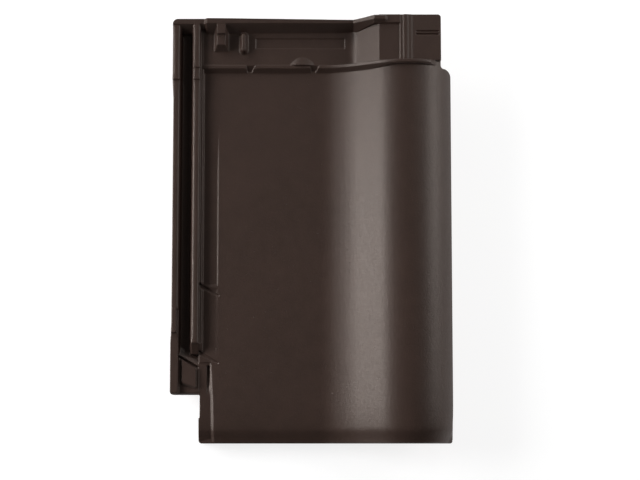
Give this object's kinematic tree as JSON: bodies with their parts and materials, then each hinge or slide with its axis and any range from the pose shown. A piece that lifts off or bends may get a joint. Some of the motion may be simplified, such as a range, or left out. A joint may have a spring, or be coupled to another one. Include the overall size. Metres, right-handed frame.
{
  "type": "clay roof tile",
  "caption": "Pressed clay interlocking roof tile with a flat pan, a hollow roll, a side water lock and a ribbed, lugged head lock, in a dark satin engobe.",
  "frame": {"origin": "on the floor under the middle of the tile's box, as it lies face up on its nibs and foot skirt", "axes": "+X to the roll, +Y up the roof slope to the head, +Z out of the weather face"},
  "size_m": [0.312, 0.475, 0.0672],
  "materials": {
    "engobed_clay": "satin"
  },
  "bodies": {
    "root": {"tile": "engobed_clay"}
  },
  "joints": []
}
